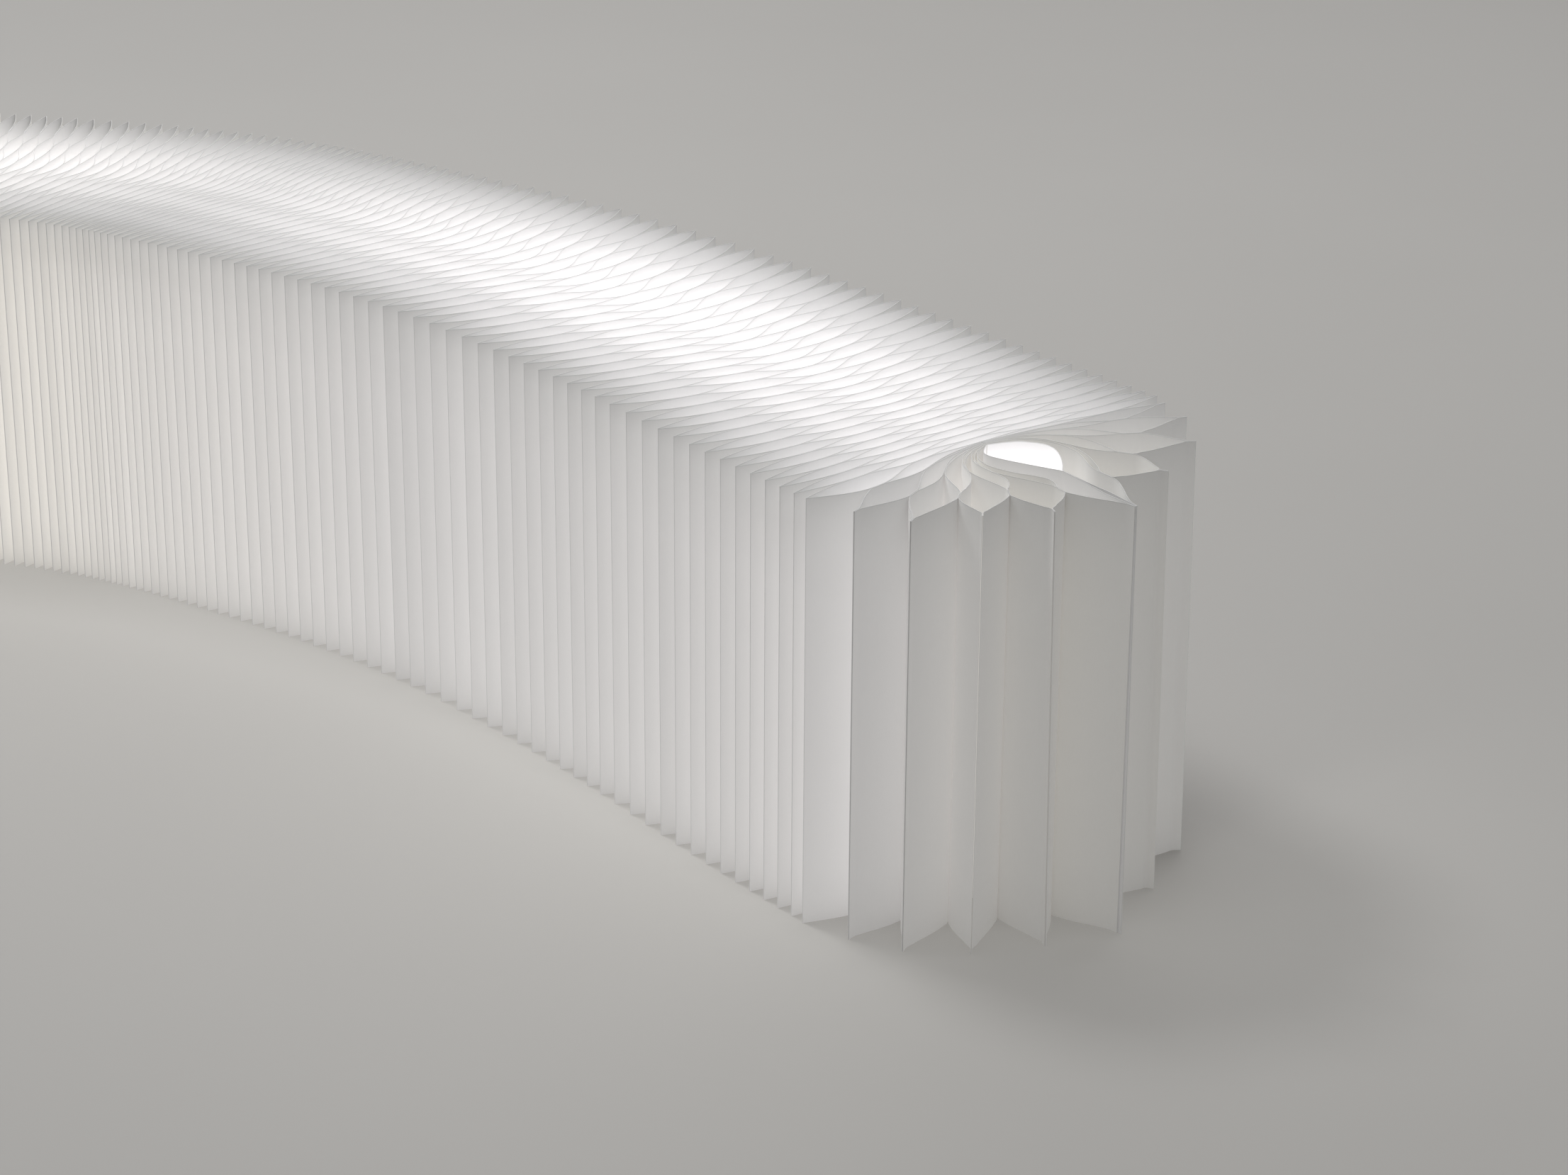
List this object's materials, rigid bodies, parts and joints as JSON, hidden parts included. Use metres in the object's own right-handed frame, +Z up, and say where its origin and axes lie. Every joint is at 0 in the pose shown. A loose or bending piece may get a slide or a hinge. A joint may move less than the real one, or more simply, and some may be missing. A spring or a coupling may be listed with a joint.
{
  "type": "pleated paper screen",
  "caption": "Free-standing honeycomb wall of glued paper sheets that stretches, bends in plan and opens into a fan at one end, lit from inside along its foot.",
  "frame": {"origin": "centre of the plan's bounding box, on the floor", "axes": "+X along the wall towards the fan, +Y towards the bulging side of the wall's curve, +Z up"},
  "size_m": [1.3424, 0.4096, 0.28],
  "materials": {
    "paper": "matte",
    "sleeve": "satin",
    "tape": "satin",
    "chips": "gloss"
  },
  "bodies": {
    "guide_01": {"pleat_01": "paper"},
    "guide_02": {"pleat_02": "paper", "stretch_pack_1": "paper"},
    "guide_03": {"pleat_03": "paper", "bend_pack_1": "paper"},
    "guide_04": {"pleat_04": "paper", "stretch_pack_2": "paper"},
    "guide_05": {"pleat_05": "paper", "bend_pack_2": "paper"},
    "guide_06": {"pleat_06": "paper", "stretch_pack_3": "paper"},
    "guide_07": {"pleat_07": "paper", "ribbon_sleeve": "sleeve", "light_tape": "tape", "light_chips": "chips", "end_cap_far": "sleeve", "end_cap_near": "sleeve", "bend_pack_3": "paper", "stretch_pack_4": "paper"},
    "guide_08": {"pleat_08": "paper", "bend_pack_4": "paper"},
    "guide_09": {"pleat_09": "paper", "stretch_pack_5": "paper"},
    "guide_10": {"pleat_10": "paper", "bend_pack_5": "paper"},
    "guide_11": {"pleat_11": "paper", "stretch_pack_6": "paper"},
    "guide_12": {"pleat_12": "paper", "bend_pack_6": "paper"},
    "guide_13": {"pleat_13": "paper"},
    "fan_front_1": {"fan_front_leaf_1": "paper"},
    "fan_front_2": {"fan_front_leaf_2": "paper"},
    "fan_front_3": {"fan_front_leaf_3": "paper"},
    "fan_front_4": {"fan_front_leaf_4": "paper"},
    "fan_front_5": {"fan_front_leaf_5": "paper", "end_sheet_front": "paper"},
    "fan_back_1": {"fan_back_leaf_1": "paper"},
    "fan_back_2": {"fan_back_leaf_2": "paper"},
    "fan_back_3": {"fan_back_leaf_3": "paper"},
    "fan_back_4": {"fan_back_leaf_4": "paper"},
    "fan_back_5": {"fan_back_leaf_5": "paper", "end_sheet_back": "paper"}
  },
  "joints": [
    {"name": "stretch_1", "type": "slide", "parent": "guide_02", "child": "guide_01", "axis": [-0.8793, -0.4763, 0], "range_m": [-0.04405, 0.05606], "deforming": ["stretch_pack_1", "ribbon_sleeve", "light_tape", "light_chips", "end_cap_far", "end_cap_near"]},
    {"name": "bend_1", "type": "hinge", "parent": "guide_03", "child": "guide_02", "pos_m": [-0.45948, -0.01233, 0.14], "axis": [0, 0, -1], "range_deg": [-10, 10], "deforming": ["bend_pack_1", "ribbon_sleeve", "light_tape", "light_chips", "end_cap_far", "end_cap_near"]},
    {"name": "stretch_2", "type": "slide", "parent": "guide_04", "child": "guide_03", "axis": [-0.9437, -0.3308, 0], "range_m": [-0.05696, 0.07249], "deforming": ["stretch_pack_2", "ribbon_sleeve", "light_tape", "light_chips", "end_cap_far", "end_cap_near"]},
    {"name": "bend_2", "type": "hinge", "parent": "guide_05", "child": "guide_04", "pos_m": [-0.28973, 0.04577, 0.14], "axis": [0, 0, -1], "range_deg": [-12, 12], "deforming": ["bend_pack_2", "ribbon_sleeve", "light_tape", "light_chips", "end_cap_far", "end_cap_near"]},
    {"name": "stretch_3", "type": "slide", "parent": "guide_06", "child": "guide_05", "axis": [-0.9974, -0.0725, 0], "range_m": [-0.05152, 0.06556], "deforming": ["stretch_pack_3", "ribbon_sleeve", "light_tape", "light_chips", "end_cap_far", "end_cap_near"]},
    {"name": "bend_3", "type": "hinge", "parent": "guide_07", "child": "guide_06", "pos_m": [-0.12154, 0.05942, 0.14], "axis": [0, 0, -1], "range_deg": [-9, 9], "deforming": ["bend_pack_3", "ribbon_sleeve", "light_tape", "light_chips", "end_cap_far", "end_cap_near"]},
    {"name": "stretch_4", "type": "slide", "parent": "guide_07", "child": "guide_08", "axis": [0.9985, -0.0548, 0], "range_m": [-0.0734, 0.09342], "deforming": ["stretch_pack_4", "ribbon_sleeve", "light_tape", "light_chips", "end_cap_far", "end_cap_near"]},
    {"name": "bend_4", "type": "hinge", "parent": "guide_08", "child": "guide_09", "pos_m": [0.10127, 0.04651, 0.14], "axis": [0, 0, 1], "range_deg": [-10, 10], "deforming": ["bend_pack_4", "ribbon_sleeve", "light_tape", "light_chips", "end_cap_far", "end_cap_near"]},
    {"name": "stretch_5", "type": "slide", "parent": "guide_09", "child": "guide_10", "axis": [0.9784, -0.2065, 0], "range_m": [-0.07416, 0.09438], "deforming": ["stretch_pack_5", "ribbon_sleeve", "light_tape", "light_chips", "end_cap_far", "end_cap_near"]},
    {"name": "bend_5", "type": "hinge", "parent": "guide_10", "child": "guide_11", "pos_m": [0.32547, -0.00028, 0.14], "axis": [0, 0, 1], "range_deg": [-12, 12], "deforming": ["bend_pack_5", "ribbon_sleeve", "light_tape", "light_chips", "end_cap_far", "end_cap_near"]},
    {"name": "stretch_6", "type": "slide", "parent": "guide_11", "child": "guide_12", "axis": [0.966, -0.2584, 0], "range_m": [-0.06356, 0.0809], "deforming": ["stretch_pack_6", "ribbon_sleeve", "light_tape", "light_chips", "end_cap_far", "end_cap_near"]},
    {"name": "bend_6", "type": "hinge", "parent": "guide_12", "child": "guide_13", "pos_m": [0.5063, -0.04831, 0.14], "axis": [0, 0, 1], "range_deg": [-8, 8], "deforming": ["bend_pack_6", "ribbon_sleeve", "light_tape", "light_chips", "end_cap_far", "end_cap_near"]},
    {"name": "fan_front_1", "type": "hinge", "parent": "guide_13", "child": "fan_front_1", "pos_m": [0.52948, -0.05416, 0.14], "axis": [0, 0, -1], "range_deg": [0, 8.61], "deforming": ["fan_front_leaf_1"]},
    {"name": "fan_front_2", "type": "hinge", "parent": "fan_front_1", "child": "fan_front_2", "pos_m": [0.52948, -0.05416, 0.14], "axis": [0, 0, -1], "range_deg": [0, 9.48], "deforming": ["fan_front_leaf_2"]},
    {"name": "fan_front_3", "type": "hinge", "parent": "fan_front_2", "child": "fan_front_3", "pos_m": [0.52948, -0.05416, 0.14], "axis": [0, 0, -1], "range_deg": [0, 11.08], "deforming": ["fan_front_leaf_3"]},
    {"name": "fan_front_4", "type": "hinge", "parent": "fan_front_3", "child": "fan_front_4", "pos_m": [0.52948, -0.05416, 0.14], "axis": [0, 0, -1], "range_deg": [0, 13.39], "deforming": ["fan_front_leaf_4"]},
    {"name": "fan_front_5", "type": "hinge", "parent": "fan_front_4", "child": "fan_front_5", "pos_m": [0.52948, -0.05416, 0.14], "axis": [0, 0, -1], "range_deg": [0, 14.43], "deforming": ["fan_front_leaf_5", "end_sheet_front"]},
    {"name": "fan_back_1", "type": "hinge", "parent": "guide_13", "child": "fan_back_1", "pos_m": [0.52948, -0.05416, 0.14], "axis": [0, 0, 1], "range_deg": [0, 2.84], "deforming": ["fan_back_leaf_1"]},
    {"name": "fan_back_2", "type": "hinge", "parent": "fan_back_1", "child": "fan_back_2", "pos_m": [0.52948, -0.05416, 0.14], "axis": [0, 0, 1], "range_deg": [0, 7.9], "deforming": ["fan_back_leaf_2"]},
    {"name": "fan_back_3", "type": "hinge", "parent": "fan_back_2", "child": "fan_back_3", "pos_m": [0.52948, -0.05416, 0.14], "axis": [0, 0, 1], "range_deg": [0, 13.51], "deforming": ["fan_back_leaf_3"]},
    {"name": "fan_back_4", "type": "hinge", "parent": "fan_back_3", "child": "fan_back_4", "pos_m": [0.52948, -0.05416, 0.14], "axis": [0, 0, 1], "range_deg": [0, 19.05], "deforming": ["fan_back_leaf_4"]},
    {"name": "fan_back_5", "type": "hinge", "parent": "fan_back_4", "child": "fan_back_5", "pos_m": [0.52948, -0.05416, 0.14], "axis": [0, 0, 1], "range_deg": [0, 20.26], "deforming": ["fan_back_leaf_5", "end_sheet_back"]}
  ],
  "couplings": [
    {"joint": "stretch_1", "follows": "stretch_4", "ratio": 0.59984},
    {"joint": "stretch_2", "follows": "stretch_4", "ratio": 0.7757},
    {"joint": "stretch_3", "follows": "stretch_4", "ratio": 0.70158},
    {"joint": "stretch_5", "follows": "stretch_4", "ratio": 1.0101},
    {"joint": "stretch_6", "follows": "stretch_4", "ratio": 0.8657},
    {"joint": "fan_front_2", "follows": "fan_front_1", "ratio": 1.0992},
    {"joint": "fan_front_3", "follows": "fan_front_1", "ratio": 1.2851},
    {"joint": "fan_front_4", "follows": "fan_front_1", "ratio": 1.5537},
    {"joint": "fan_front_5", "follows": "fan_front_1", "ratio": 1.6736},
    {"joint": "fan_back_2", "follows": "fan_back_1", "ratio": 2.775},
    {"joint": "fan_back_3", "follows": "fan_back_1", "ratio": 4.75},
    {"joint": "fan_back_4", "follows": "fan_back_1", "ratio": 6.7},
    {"joint": "fan_back_5", "follows": "fan_back_1", "ratio": 7.125}
  ]
}
